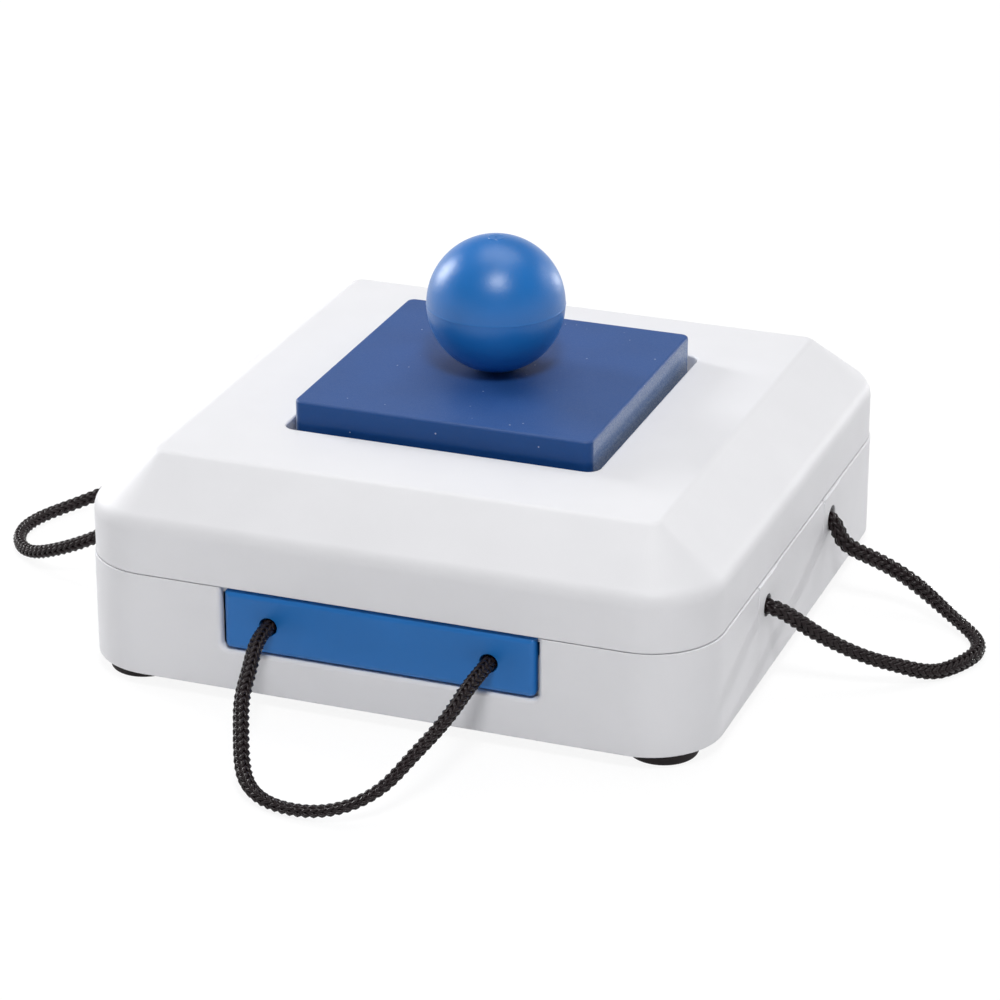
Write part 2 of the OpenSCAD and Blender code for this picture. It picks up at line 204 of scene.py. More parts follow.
def plastic(
    name, colour, rough, shine, grain, grain_depth, mottle, specks=0.0, speck_colour=None, walls=None,
):
    """Moulded plastic: an even colour with faint flow marks, a fine spark texture, and a few specks.

    walls holds the roughness, the shine and the sheen of upright faces.
    """
    made, nodes, links, shader = material(name)
    flow = noise(nodes, links, 45, 3)
    low = [c * (1 - mottle) for c in colour]
    high = [min(1, c * (1 + mottle)) for c in colour]
    skin = mix(nodes, links, spread(nodes, links, flow, 0, 1), low, high)
    if specks:
        skin = specked(nodes, links, skin, specks, speck_colour)
    links.new(skin, shader.inputs["Base Color"])
    shader.inputs["Specular IOR Level"].default_value = shine
    fine = noise(nodes, links, grain, 2.5, 0.6)
    finish = spread(nodes, links, fine, rough - 0.05, rough + 0.05)
    bump = node(nodes, "ShaderNodeBump", Strength=1.0, Distance=grain_depth * MM)
    if walls:
        finish = smooth_walls(nodes, links, shader, bump, finish, fine, shine, walls)
    links.new(finish, shader.inputs["Roughness"])
    links.new(fine, bump.inputs["Height"])
    links.new(bump.outputs["Normal"], shader.inputs["Normal"])
    return made


white = plastic(
    "white_plastic", (0.84, 0.84, 0.865), rough=0.50, shine=0.50,
    grain=3000, grain_depth=0.03, mottle=0.012,
)
navy = plastic(
    "navy_plastic", (0.009, 0.067, 0.252), rough=0.52, shine=0.68,
    grain=2600, grain_depth=0.08, mottle=0.05,
    specks=0.8, speck_colour=(0.45, 0.52, 0.68), walls=(0.12, 0.20, 1.0),
)
knob_blue = plastic(
    "knob_plastic", (0.002, 0.152, 0.500), rough=0.33, shine=0.67,
    grain=2600, grain_depth=0.06, mottle=0.04,
)
drawer_blue = plastic(
    "drawer_plastic", (0.010, 0.158, 0.495), rough=0.40, shine=0.40,
    grain=2600, grain_depth=0.04, mottle=0.04,
)


def braid_yarn():
    """Black polyester yarn: fine filaments along each yarn, and lighter where they are worn."""
    made, nodes, links, shader = material("braid_yarn")
    place = nodes.new("ShaderNodeTexCoord")
    stretch = node(nodes, "ShaderNodeMapping")
    stretch.inputs["Scale"].default_value = (7.0, 0.35, 1.0)
    links.new(place.outputs["UV"], stretch.inputs["Vector"])
    hairs = node(nodes, "ShaderNodeTexNoise", Scale=1.0, Detail=3.0, Roughness=0.6)
    links.new(stretch.outputs["Vector"], hairs.inputs["Vector"])
    worn = noise(nodes, links, 260, 2)
    thread = spread(nodes, links, hairs.outputs["Fac"], 0, 1)
    base = mix(nodes, links, thread, (0.005, 0.003, 0.0035), (0.019, 0.012, 0.0135))
    colour = mix(nodes, links, spread(nodes, links, worn, 0, 0.3), base, (0.036, 0.025, 0.027))
    links.new(colour, shader.inputs["Base Color"])
    shader.inputs["Roughness"].default_value = 0.27
    shader.inputs["Specular IOR Level"].default_value = 0.23
    bump = node(nodes, "ShaderNodeBump", Strength=0.8, Distance=0.06 * MM)
    links.new(hairs.outputs["Fac"], bump.inputs["Height"])
    links.new(bump.outputs["Normal"], shader.inputs["Normal"])
    return made


def rubber():
    """Matt black rubber with a little dust."""
    made, nodes, links, shader = material("foot_rubber")
    dust = spread(nodes, links, noise(nodes, links, 180, 3), 0, 1)
    skin = mix(nodes, links, dust, (0.010, 0.007, 0.0075), (0.018, 0.013, 0.014))
    links.new(skin, shader.inputs["Base Color"])
    shader.inputs["Roughness"].default_value = 0.62
    shader.inputs["Specular IOR Level"].default_value = 0.25
    bump = node(nodes, "ShaderNodeBump", Strength=1.0, Distance=0.04 * MM)
    links.new(noise(nodes, links, 2400), bump.inputs["Height"])
    links.new(bump.outputs["Normal"], shader.inputs["Normal"])
    return made


def zinc():
    """Zinc-plated steel with a cloudy finish."""
    made, nodes, links, shader = material("zinc_plate")
    plate = noise(nodes, links, 500, 3)
    skin = mix(nodes, links, spread(nodes, links, plate, 0, 1), (0.52, 0.53, 0.55), (0.66, 0.67, 0.69))
    links.new(skin, shader.inputs["Base Color"])
    shader.inputs["Metallic"].default_value = 1.0
    links.new(spread(nodes, links, plate, 0.26, 0.42), shader.inputs["Roughness"])
    bump = node(nodes, "ShaderNodeBump", Strength=0.6, Distance=0.02 * MM)
    links.new(noise(nodes, links, 3000), bump.inputs["Height"])
    links.new(bump.outputs["Normal"], shader.inputs["Normal"])
    return made


braid_black = braid_yarn()
foot_black = rubber()
screw_zinc = zinc()


# Mesh helpers
def rounded_path(corners, steps=6):
    """A path through corners (u, v, radius), with an arc of that radius in each inner corner."""
    path = [corners[0][:2]]
    for before, (u, v, radius), after in zip(corners, corners[1:], corners[2:]):
        if not radius:
            path.append((u, v))
            continue
        here = Vector((u, v))
        back = (Vector(before[:2]) - here).normalized()
        ahead = (Vector(after[:2]) - here).normalized()
        half = back.angle(ahead) / 2
        centre = here + (back + ahead).normalized() * (radius / math.sin(half))
        start = here + back * (radius / math.tan(half)) - centre
        end = here + ahead * (radius / math.tan(half)) - centre
        sweep = math.pi - 2 * half
        for k in range(steps + 1):
            t = k / steps
            arm = (start * math.sin((1 - t) * sweep) + end * math.sin(t * sweep)) / math.sin(sweep)
            path.append(tuple(centre + arm))
    path.append(corners[-1][:2])
    return path


def ring(half_x, half_y, radius, z, y0=0.0, steps=16):
    """Points of a rounded rectangle, anticlockwise from above."""
    points = []
    for turn, (sx, sy) in enumerate(((1, 1), (-1, 1), (-1, -1), (1, -1))):
        for k in range(steps + 1):
            a = math.radians(90 * (turn + k / steps))
            points.append((
                sx * (half_x - radius) + radius * math.cos(a),
                y0 + sy * (half_y - radius) + radius * math.sin(a),
                z,
            ))
    return points


def loft(rings, closed=False):
    """A solid through rings of the same count; closed joins the last ring to the first."""
    n = len(rings[0])
    points = [p for r in rings for p in r]
    spans = len(rings) if closed else len(rings) - 1
    faces = []
    for i in range(spans):
        j = (i + 1) % len(rings)
        for k in range(n):
            m = (k + 1) % n
            faces.append((i * n + k, i * n + m, j * n + m, j * n + k))
    if not closed:
        faces.append(tuple(reversed(range(n))))
        faces.append(tuple(range(len(points) - n, len(points))))
    return points, faces


def spin(profile, centre=(0, 0, 0), axis=(0, 0, 1), steps=64, closed=False):
    """A profile of (radius, height) turned round an axis through centre."""
    turn = Vector((0, 0, 1)).rotation_difference(Vector(axis))
    rings = []
    for radius, height in profile:
        rings.append([
            tuple(Vector(centre) + turn @ Vector((
                radius * math.cos(math.tau * k / steps), radius * math.sin(math.tau * k / steps), height
            )))
            for k in range(steps)
        ])
    return loft(rings, closed)


# Smallest half width or corner that a ring is left with
LEAST = 0.02


def block(low, high, edge):
    """A box with rounded edges."""
    x0, y0, z0 = low
    x1, y1, z1 = high
    half_x, half_y = (x1 - x0) / 2, (y1 - y0) / 2
    path = rounded_path([(edge + LEAST, z0, 0), (0, z0, edge), (0, z1, edge), (edge + LEAST, z1, 0)], 3)
    points, faces = loft([
        ring(half_x - i, half_y - i, max(edge - i, LEAST), z, 0, 3) for i, z in path
    ])
    middle_x, middle_y = (x0 + x1) / 2, (y0 + y1) / 2
    return [(x + middle_x, y + middle_y, z) for x, y, z in points], faces


def join(*shapes):
    """Several shapes as one."""
    points, faces = [], []
    for more_points, more_faces in shapes:
        n = len(points)
        points += more_points
        faces += [tuple(i + n for i in f) for f in more_faces]
    return points, faces


def raw(name, shape):
    """A new object from points in millimetres and faces."""
    points, faces = shape
    mesh = bpy.data.meshes.new(name)
    mesh.from_pydata([[c * MM for c in p] for p in points], [], faces)
    obj = bpy.data.objects.new(name, mesh)
    scene.collection.objects.link(obj)
    return obj


def carve(obj, shape, how="DIFFERENCE"):
    """Cuts a shape out of a piece, or joins it to the piece."""
    tool = raw("cutter", shape)
    change = obj.modifiers.new("carve", "BOOLEAN")
    change.operation = how
    change.solver = "EXACT"
    change.object = tool
    graph = bpy.context.evaluated_depsgraph_get()
    made = bpy.data.meshes.new_from_object(obj.evaluated_get(graph))
    obj.modifiers.clear()
    obj.data = made
    bpy.data.objects.remove(tool)


def add_shape(obj, shape):
    """Adds a shape's faces to a piece as they are."""
    kept = [tuple(v.co / MM) for v in obj.data.vertices]
    loops = [tuple(p.vertices) for p in obj.data.polygons]
    points, faces = join((kept, loops), shape)
    mesh = bpy.data.meshes.new(obj.name)
    mesh.from_pydata([[c * MM for c in p] for p in points], [], faces)
    obj.data = mesh


# Edges that turn more than this many degrees stay crisp
CRISP = 32


def finish_piece(obj, look, body, stands_for):
    """Gives a piece its material, smooth shading with crisp edges, and its place in the model."""
    obj.data.materials.clear()
    obj.data.materials.append(look)
    obj.data.shade_smooth()
    obj.data.set_sharp_from_angle(angle=math.radians(CRISP))
    even = obj.modifiers.new("even", "WEIGHTED_NORMAL")
    even.keep_sharp = True
    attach(obj, body)
    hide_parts(*stands_for)


# Cords: each line runs out from the wall, along the wall and up from the floor, as in the solids
FRONT_LOOP = [
    (11.5, -37.6, 29), (22, -35.5, 25.2), (32, -33.6, 20.3), (41.5, -30, 14.7), (50.5, -25.9, 9.1),
    (57.5, -21.4, 5.4), (62.5, -15.4, 3.4), (66, -4.6, 2.7), (66, 6.7, 3.6), (62.8, 17.3, 6.6),
    (56.5, 25.5, 11.6), (48.2, 30.6, 17.5), (38.7, 34.6, 22.3), (28.1, 37, 26.1), (17, 37.9, 28.9),
    (8, 38.4, 30),
]
RIGHT_LOOP = [
    (1, 37.7, 30.2), (3.2, 36.3, 28), (5.1, 35.4, 25.1), (8.6, 35.3, 22.4), (13.2, 36.1, 20.2),
    (22, 37.3, 16.3), (30.7, 36.6, 12.2), (39, 33.6, 8.2), (46.8, 28.9, 5.2), (54.2, 22.8, 3.6),
    (59.2, 16, 3), (60.6, 8.6, 2.8), (58.6, 0.5, 2.7), (54.2, -7.8, 2.7), (48.7, -13.6, 3.7),
    (41.2, -18.9, 6.8), (33.4, -23.6, 10.1), (25.6, -27.7, 14.2), (18.1, -31.5, 19.1),
    (11.5, -34.8, 24.3), (6.1, -37.1, 28.5), (2, -38.3, 30.5),
]
LEFT_LOOP = [
    (12.5, 38, 28.5), (24, 36, 23.5), (34.5, 32.5, 17.5), (44, 27, 11), (53.5, 20.5, 6.2),
    (62, 11.5, 3.6), (68, 0, 2.8), (69, -12, 2.8), (64.5, -23.5, 3.2), (55.5, -32.5, 4.8),
    (45, -37.5, 8.8), (33.5, -39.5, 14), (22.5, -39.5, 20), (12, -38.8, 27.2),
]
CORD_LEAD = 2.0
CORD_STEP = 0.87
CORD_OFF_FLOOR = 0.02
WIDTH_BLEND = 9
SPLINE_POINTS = 2000

# The soft braid is flatter in places: share of a cord's way, and its width there
FRONT_GIRTH = [
    (0, 1.04), (0.25, 1.08), (0.36, 1.08), (0.44, 0.86), (0.62, 0.82), (0.70, 0.90), (0.80, 0.95),
    (0.88, 1.05), (1, 1.04),
]
RIGHT_GIRTH = [
    (0, 1.06), (0.08, 1.15), (0.25, 1.12), (0.34, 0.94), (0.41, 0.94), (0.47, 1.1), (0.65, 1.1),
    (0.74, 0.98), (0.82, 0.98), (0.9, 1.14), (1, 1.08),
]
LEFT_GIRTH = [(0, 1), (0.3, 0.92), (0.5, 0.95), (0.75, 0.98), (1, 1)]


def cord_line(loop, start, height, depth):
    """A cord's whole line, from behind one hole to behind the other."""
    lead = CORD_LEAD - depth
    return [
        (-depth, start, height), (lead, start, height), *loop,
        (lead, -start, height), (-depth, -start, height),
    ]


def smooth_line(points, step):
    """Evenly spaced points on a natural cubic spline through the given ones."""
    p = np.array(points, float)
    t = np.r_[0, np.cumsum(np.linalg.norm(np.diff(p, axis=0), axis=1))]
    h = np.diff(t)
    n = len(p)
    a = np.eye(n)
    b = np.zeros((n, 3))
    for i in range(1, n - 1):
        a[i, i - 1:i + 2] = h[i - 1], 2 * (h[i - 1] + h[i]), h[i]
        b[i] = 6 * ((p[i + 1] - p[i]) / h[i] - (p[i] - p[i - 1]) / h[i - 1])
    bend = np.linalg.solve(a, b)

    def at(x):
        i = np.clip(np.searchsorted(t, x) - 1, 0, n - 2)
        u, v, w = (t[i + 1] - x)[:, None], (x - t[i])[:, None], h[i][:, None]
        return (
            (bend[i] * u ** 3 + bend[i + 1] * v ** 3) / (6 * w)
            + (p[i] / w - bend[i] * w / 6) * u
            + (p[i + 1] / w - bend[i + 1] * w / 6) * v
        )

    fine = at(np.linspace(0, t[-1], SPLINE_POINTS))
    along = np.r_[0, np.cumsum(np.linalg.norm(np.diff(fine, axis=0), axis=1))]
    even = np.linspace(0, along[-1], int(round(along[-1] / step)) + 1)
    return np.stack([np.interp(even, along, fine[:, k]) for k in range(3)], 1)


def unit(v):
    return v / np.linalg.norm(v, axis=-1, keepdims=True)


# A direction that no cord starts in
SKEW = (0.31, 0.12, 0.94)


def steady_frame(line):
    """Headings of a line, and two directions square to it that don't twist."""
    ahead = unit(np.gradient(line, axis=0))
    side = np.zeros_like(line)
    side[0] = unit(np.cross(ahead[0], SKEW))
    for i in range(1, len(line)):
        side[i] = unit(side[i - 1] - ahead[i] * (side[i - 1] @ ahead[i]))
    return ahead, side, np.cross(ahead, side)


# Distance between two yarns' stretches of the UV map
YARN_APART = 7


def braid(line, radius, yarns=8, lead=21.5, wide=0.52, thick=0.46, wave=0.19, corners=5):
    """A two-over, two-under braid along a line, as closed strands with UVs.

    The radius has one value for each point of the line, and the yarns' sizes are shares of it.
    """
    ahead, side, up = steady_frame(line)
    along = np.r_[0, np.cumsum(np.linalg.norm(np.diff(line, axis=0), axis=1))]
    middle = radius * (1 - wave - thick / 2)
    points, faces, uvs = [], [], []
    turns = [math.pi / 2 + math.tau * k / corners for k in range(corners)]
    for hand in (1, -1):
        for k in range(yarns):
            angle = hand * math.tau * along / lead + math.tau * (k + 0.5 * (hand < 0)) / yarns
            out = np.cos(angle)[:, None] * side + np.sin(angle)[:, None] * up
            height = hand * np.cos(math.pi / 2 * (angle * yarns / math.pi - 0.5))
            path = line + out * (middle + radius * wave * height)[:, None]
            way = unit(np.gradient(path, axis=0))
            across = unit(np.cross(way, out))
            lift = np.cross(across, way)
            n = len(points)
            for i in range(len(line)):
                for a in turns:
                    flat = across[i] * (wide * math.cos(a))
                    high = lift[i] * (thick * math.sin(a))
                    points.append(tuple(path[i] + radius[i] / 2 * (flat + high)))
            for i in range(len(line) - 1):
                for c in range(corners):
                    d = (c + 1) % corners
                    here, there = n + i * corners, n + (i + 1) * corners
                    faces.append((here + c, here + d, there + d, there + c))
                    u0, u1 = c + YARN_APART * k, c + 1 + YARN_APART * k
                    v0, v1 = along[i], along[i + 1]
                    uvs += [(u0, v0), (u1, v0), (u1, v1), (u0, v1)]
            last = n + (len(line) - 1) * corners
            faces.append(tuple(n + c for c in reversed(range(corners))))
            faces.append(tuple(last + c for c in range(corners)))
            uvs += [(0, 0)] * (2 * corners)
    return points, faces, uvs


def braid_piece(name, shapes, body, stands_for):
    """One piece of braided strands, with its place in the model."""
    points, faces, uvs = [], [], []
    for p, f, u in shapes:
        n = len(points)
        points += p
        faces += [tuple(i + n for i in face) for face in f]
        uvs += u
    obj = raw(name, (points, faces))
    layer = obj.data.uv_layers.new(name="UVMap")
    layer.data.foreach_set("uv", np.array(uvs, np.float32).ravel())
    obj.data.materials.append(braid_black)
    obj.data.shade_smooth()
    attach(obj, body)
    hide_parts(*stands_for)
    return obj


# Stopper knots: the cord's end runs straight in, and two turns lie round it
CORE_R = 2.3
CORE_FROM = 0.2
CORE_POINTS = 12
TURN_R = 2.15
TURN_REACH = 3.75
TURN_TUCK = 1.6
TUCK_SHARE = 0.1
TURN_FROM = 2.3
TURN_RISE = 5.6
TURN_START = -70
TURN_SWEEP = 640
TURN_POINTS = 38
FRONT_KNOT = 15.3
SIDE_KNOT = 13.4


def knot_piece(name, wall_point, inward, reach_in, node_name, body):
    """A stopper knot behind a hole: the cord's end with two turns drawn tight round it."""
    still = np.zeros(CORE_POINTS)
    core = np.stack([np.linspace(CORE_FROM, reach_in, CORE_POINTS), still, still], 1)
    t = np.linspace(0, 1, TURN_POINTS)
    angle = np.radians(TURN_START + TURN_SWEEP * t)
    to_end = np.minimum(t, 1 - t)
    tucked = np.clip((TUCK_SHARE - to_end) / TUCK_SHARE, 0, 1)
    reach = TURN_REACH - TURN_TUCK * tucked
    turns = np.stack([TURN_FROM + TURN_RISE * t, reach * np.cos(angle), reach * np.sin(angle)], 1)
    turn = np.array(Matrix.Rotation(math.atan2(inward[1], inward[0]), 3, "Z"))
    shapes = [
        braid(
            np.array(wall_point) + line @ turn.T, np.full(len(line), r),
            yarns=4, lead=16.0, wide=1.24, thick=0.4, wave=0.07, corners=4,
        )
        for line, r in ((core, CORE_R), (turns, TURN_R))
    ]
    return braid_piece(name, shapes, body, [node_name])


def cord_piece(name, line, girth, body, node_name):
    """A braided cord along a line, with its width from girth, in place of the cord's solid."""
    path = smooth_line(line, CORD_STEP)
    shares, widths = zip(*girth)
    radius = CORD_D / 2 * np.interp(np.linspace(0, 1, len(path)), shares, widths)
    padded = np.pad(radius, WIDTH_BLEND // 2, mode="edge")
    radius = np.convolve(padded, np.full(WIDTH_BLEND, 1 / WIDTH_BLEND), "valid")
    path[:, 2] = np.maximum(path[:, 2], radius + CORD_OFF_FLOOR)
    obj = braid_piece(name, [braid(path, radius)], body, [node_name])


front_knots = [
    knot_piece(
        f"knot_front_{word}", (s * CORD_AT, DRAWER_FRONT_T - HALF, DRAWER_CORD_Z), (0, 1), FRONT_KNOT,
        f"front_knot_{word}", "drawer",
    )
    for word, s in (("left", -1), ("right", 1))
]
side_knots = {
    (side, end): knot_piece(
        f"knot_{side}_{end}", (s * (HALF - WALL_T), e * CORD_AT, SIDE_CORD_Z), (-s, 0), SIDE_KNOT,
        f"{side}_knot_{end}", "base",
    )
    for side, s in (("right", 1), ("left", -1))
    for end, e in (("front", -1), ("rear", 1))
}
front_line = cord_line(FRONT_LOOP, -CORD_AT, DRAWER_CORD_Z, DRAWER_FRONT_T)
cord_piece(
    "braid_front", [(a, -HALF - o, z) for o, a, z in front_line],
    FRONT_GIRTH, "drawer", "front_cord",
)
for side, s, loop, girth in (("right", 1, RIGHT_LOOP, RIGHT_GIRTH), ("left", -1, LEFT_LOOP, LEFT_GIRTH)):
    side_line = cord_line(loop, CORD_AT, SIDE_CORD_Z, WALL_T)
    cord_piece(
        f"braid_{side}", [(s * (HALF + o), a, z) for o, a, z in side_line],
        girth, "base", f"{side}_cord",
    )


# White base
OUTER_FROM = 80
CORNER_AT = 85.0
WELL_CORNER_AT = 51.35
WELL_R_LEAST = 0.8
PAD_EDGE = 0.38
PAD_ROOT = 1.5
GAP_SPAN = (10.4, 9.5)
GAP_DEPTH = 1.2
GAP_EDGE = 0.2
OPENING_HIGH = 46.0
OPENING_R = 2.2
OPENING_GAP = 0.5
OPENING_FLARE = 1.6
OPENING_DEPTH = 5.0
RIM_ANGLES = (0, 22, 45, 66, 82)
FLARE_ANGLES = (8, 25, 45, 65, 90)
SIDE_HOLE_FLARE = 0.4
BORE_R = 4.05
BORE_MOUTH = 4.7
BORE_END = 11.0
BORE_Z = (4.0, 5.6, 9.0)
BOSS_R = 5.8
BOSS_BORE = 2.3
BOSS_FOOT = 5.7
BOSS_EDGE = 0.3
RAIL_FRONT = -105.7
RAIL_BACK = 16.3
RAIL_FOOT = 7.0
RAIL_TOP = 33.0
RAIL_X = (53.4, 55.4)
LEDGE_X = (49.4, 53.8)
LEDGE_BACK = 15.5
LEDGE_TOP = 19.7
STOP_HALF = 55.1
STOP_FRONT = 14.3
RAIL_EDGE = 0.5


def shell_radius(half):
    """Corner radius of the box at a half width: large outside, where it shrinks up the bevel."""
    return half - CORNER_AT if half > OUTER_FROM else max(half - WELL_CORNER_AT, WELL_R_LEAST)


# How far a cutting shape reaches past the face that it cuts
PAST = 1.0


def hole(centre, axis, depth, radius, flare):
    """A cutting shape for a round hole with rounded rims at both faces of a wall."""
    rim = [(radius + flare * (1 - math.cos(a)), flare * (1 - math.sin(a))) for a in np.radians(RIM_ANGLES)]
    profile = [(r, h) for r, h in reversed(rim)] + [(r, depth - h) for r, h in rim]
    wide = profile[0][0] + LEAST
    return spin([(wide, -PAST), *profile, (wide, depth + PAST)], centre, axis, 40)


def notch_ring(grow, y, steps=8):
    """Outline of the drawer's opening, grown by some millimetres, seen from the front."""
    half, low, r = OPENING_HALF + grow, DRAWER_Z - OPENING_GAP - grow, OPENING_R + grow
    arc = [math.radians(180 + 90 * k / steps) for k in range(steps + 1)]
    left = [(-half + r + r * math.cos(a), y, low + r + r * math.sin(a)) for a in arc]
    right = [(-x, y, z) for x, y, z in reversed(left)]
    return [*left, *right, (half, y, OPENING_HIGH), (-half, y, OPENING_HIGH)]


base_path = rounded_path([
    (HUB, FLOOR_GAP, 0), (HALF, FLOOR_GAP, 0.7), (HALF, BASE_TOP, 0.25),
    (HALF - WALL_T, BASE_TOP, 0.25), (HALF - WALL_T, FLOOR_TOP, 1.5), (HUB, FLOOR_TOP, 0),
])
base = raw("white_base", loft([ring(h, h, shell_radius(h), z) for h, z in base_path]))

# Pads round the side holes, which fade into the wall towards their lower edge
pad_fade = PAD_T / (BASE_TOP - PAD_Z)
for s in (-1, 1):
    for y in (-CORD_AT, CORD_AT):
        low, high = sorted((s * (HALF - PAD_ROOT), s * (HALF + PAD_T)))
        points, faces = block((low, y - PAD_HALF, PAD_Z), (high, y + PAD_HALF, BASE_TOP - 0.05), PAD_EDGE)
        points = [(px - s * pad_fade * (BASE_TOP - pz), py, pz) for px, py, pz in points]
        carve(base, (points, faces), "UNION")

# The drawer's opening, with a rounded front edge
mouth = [
    (OPENING_FLARE * (1 - math.sin(a)), -HALF + OPENING_FLARE * (1 - math.cos(a)))
    for a in np.radians(FLARE_ANGLES)
]
carve(base, loft([
    notch_ring(g, y)
    for g, y in reversed([(mouth[0][0], -HALF - PAST), *mouth, (0, -HALF + OPENING_DEPTH)])
]))

# Side holes, and the small gap in the top edge beside each pad
for s in (-1, 1):
    for y in (-CORD_AT, CORD_AT):
        low, high = sorted((s * (HALF - PAST), s * (HALF + PAST)))
        gap_from = (low, y - GAP_SPAN[0], BASE_TOP - GAP_DEPTH)
        gap_to = (high, y - GAP_SPAN[1], BASE_TOP + PAST)
        carve(base, block(gap_from, gap_to, GAP_EDGE))
        z, r = SIDE_HOLES[math.copysign(1, y)]
        carve(base, hole((s * (HALF + PAD_T), y, z), (-s, 0, 0), WALL_T + PAD_T, r, SIDE_HOLE_FLARE))

# Screw bosses, open below for the screws' heads
base_boss = [
    (BORE_R, BOSS_FOOT), (BOSS_R, BOSS_FOOT),
    (BOSS_R, BASE_TOP - BOSS_EDGE), (BOSS_R - BOSS_EDGE, BASE_TOP),
    (BOSS_BORE, BASE_TOP), (BOSS_BORE, BORE_END), (BORE_R, BORE_END),
]
for sx in (-1, 1):
    for sy in (-1, 1):
        place = (sx * SCREW_AT[0], sy * SCREW_AT[1], 0)
        carve(base, spin(list(zip((BORE_MOUTH, BORE_R, BORE_R), BORE_Z)), place, steps=32))
        add_shape(base, spin(base_boss, place, steps=32, closed=True))

# Rails and ledges of the drawer, and the stop behind it
for s in (-1, 1):
    low, high = sorted(s * x for x in RAIL_X)
    add_shape(base, block((low, RAIL_FRONT, RAIL_FOOT), (high, RAIL_BACK, RAIL_TOP), RAIL_EDGE))
    low, high = sorted(s * x for x in LEDGE_X)
    add_shape(base, block((low, RAIL_FRONT, RAIL_FOOT), (high, LEDGE_BACK, LEDGE_TOP), RAIL_EDGE))
add_shape(base, block((-STOP_HALF, STOP_FRONT, RAIL_FOOT), (STOP_HALF, RAIL_BACK, RAIL_TOP), RAIL_EDGE))
finish_piece(base, white, "base", ["base_shell"])


# White cover
SEAM_Z = BASE_TOP + 0.3
SIDE_STEP = 0.45
WELL_UNDER = 55.2
WELL_OUT = 58.0
ROOF_Z = 74.4
ROOF_HALF = 87.16
BEVEL_IN_Z = 58.75
LIP_X = (105.15, 106.75)
LIP_Z = (38.9, 44.9)
PILLAR_R = 5.0
PILLAR_BORE = 2.1
PILLAR_Z = (BASE_TOP + 0.05, 66.5)


def tube(inner, outer, low, high):
    """The profile of a plain wall between two sizes and two heights."""
    return [(inner, low), (outer, low), (outer, high), (inner, high)]


cover_path = rounded_path([
    (HUB, WELL_UNDER, 0), (WELL_OUT, WELL_UNDER, 1.0), (WELL_OUT, ROOF_Z, 1.5), (ROOF_HALF, ROOF_Z, 2.0),
    (HALF - WALL_T, BEVEL_IN_Z, 2.0), (HALF - WALL_T, SEAM_Z, 0.2), (HALF, SEAM_Z, 0.45),
    (HALF, BEVEL_Z, 7.0), (TOP_HALF, TOP_Z, 4.0), (WELL_HALF, TOP_Z, 0.7), (WELL_HALF, WELL_Z, 1.2),
    (HUB, WELL_Z, 0),
], 8)
cover = raw("white_cover", loft([
    ring(h - SIDE_STEP * (h > OUTER_FROM), h, shell_radius(h), z) for h, z in cover_path
]))
lip = tube(*LIP_X, *LIP_Z)
add_shape(cover, loft([ring(h, h, h - CORNER_AT, z) for h, z in lip], closed=True))
pillar = tube(PILLAR_BORE, PILLAR_R, *PILLAR_Z)
for sx in (-1, 1):
    for sy in (-1, 1):
        add_shape(cover, spin(pillar, (sx * SCREW_AT[0], sy * SCREW_AT[1], 0), steps=32, closed=True))
finish_piece(cover, white, "base", ["top_cover"])


# Navy lid, with a low round seat under the ball
SEAT_IN = 3.0
SEAT_OUT = 5.0
SEAT_GAP = 0.06
SEAT_FOOT = 0.5
LID_UNDER = 83.4
LID_IN = 50.5
LID_HUB = 4.0
LID_CORNER_AT = 49.9

lid_path = rounded_path([
    (LID_HUB, LID_UNDER, 0), (LID_IN, LID_UNDER, 0.8), (LID_IN, LID_Z, 0.3), (LID_HALF, LID_Z, 0.5),
    (LID_HALF, LID_TOP, 0.9), (LID_HUB, LID_TOP, 0),
])
lid = raw("navy_lid", loft([ring(h, h, max(h - LID_CORNER_AT, 0.4), z) for h, z in lid_path]))
seat = [
    (r, BALL_Z - math.sqrt(BALL_R ** 2 - r ** 2) - SEAT_GAP) for r in np.linspace(SEAT_OUT, SEAT_IN, 6)
]
seat_foot = LID_TOP - SEAT_FOOT
add_shape(lid, spin([(SEAT_IN, seat_foot), (SEAT_OUT, seat_foot), *seat], steps=64, closed=True))
finish_piece(lid, navy, "lid", ["lid_plate"])


# Ball of two halves, with a fine joint line round its middle and a moulding mark on top
def ball_arc(low, high, radius, steps):
    """(radius, height) along a sphere between two heights."""
    a, b = math.asin(low / radius), math.asin(high / radius)
    return [
        (radius * math.cos(a + (b - a) * k / steps), BALL_Z + radius * math.sin(a + (b - a) * k / steps))
        for k in range(steps + 1)
    ]


GATE_R = 2.7
BALL_BORE = 0.3
BALL_FOOT_R = 3.6
BALL_FLAT_R = 4.0
INNER_END = 21.1
INNER_FROM = 0.2

gate_h = math.sqrt(BALL_R ** 2 - GATE_R ** 2)
upper = [
    (BALL_IN, BALL_Z), (BALL_R + 0.15, BALL_Z), (BALL_R + 0.13, BALL_Z + 0.13),
    *ball_arc(0.40, gate_h, BALL_R, 40),
    (GATE_R - 0.1, BALL_Z + gate_h + 0.12), (BALL_BORE, BALL_Z + gate_h + 0.14),
    (BALL_BORE, BALL_Z + INNER_END), *reversed(ball_arc(INNER_FROM, INNER_END, BALL_IN, 12)),
]
flat_h = math.sqrt(BALL_R ** 2 - BALL_FLAT_R ** 2)
lower = [
    (BALL_BORE, BALL_Z - INNER_END), (BALL_BORE, LID_TOP + 0.02), (BALL_FOOT_R, LID_TOP + 0.02),
    *ball_arc(-flat_h + 0.1, -0.34, BALL_R, 40),
    (BALL_R + 0.05, BALL_Z - 0.18), (BALL_R + 0.02, BALL_Z - 0.03), (BALL_IN, BALL_Z - 0.03),
    *reversed(ball_arc(-INNER_END, -INNER_FROM, BALL_IN, 12)),
]
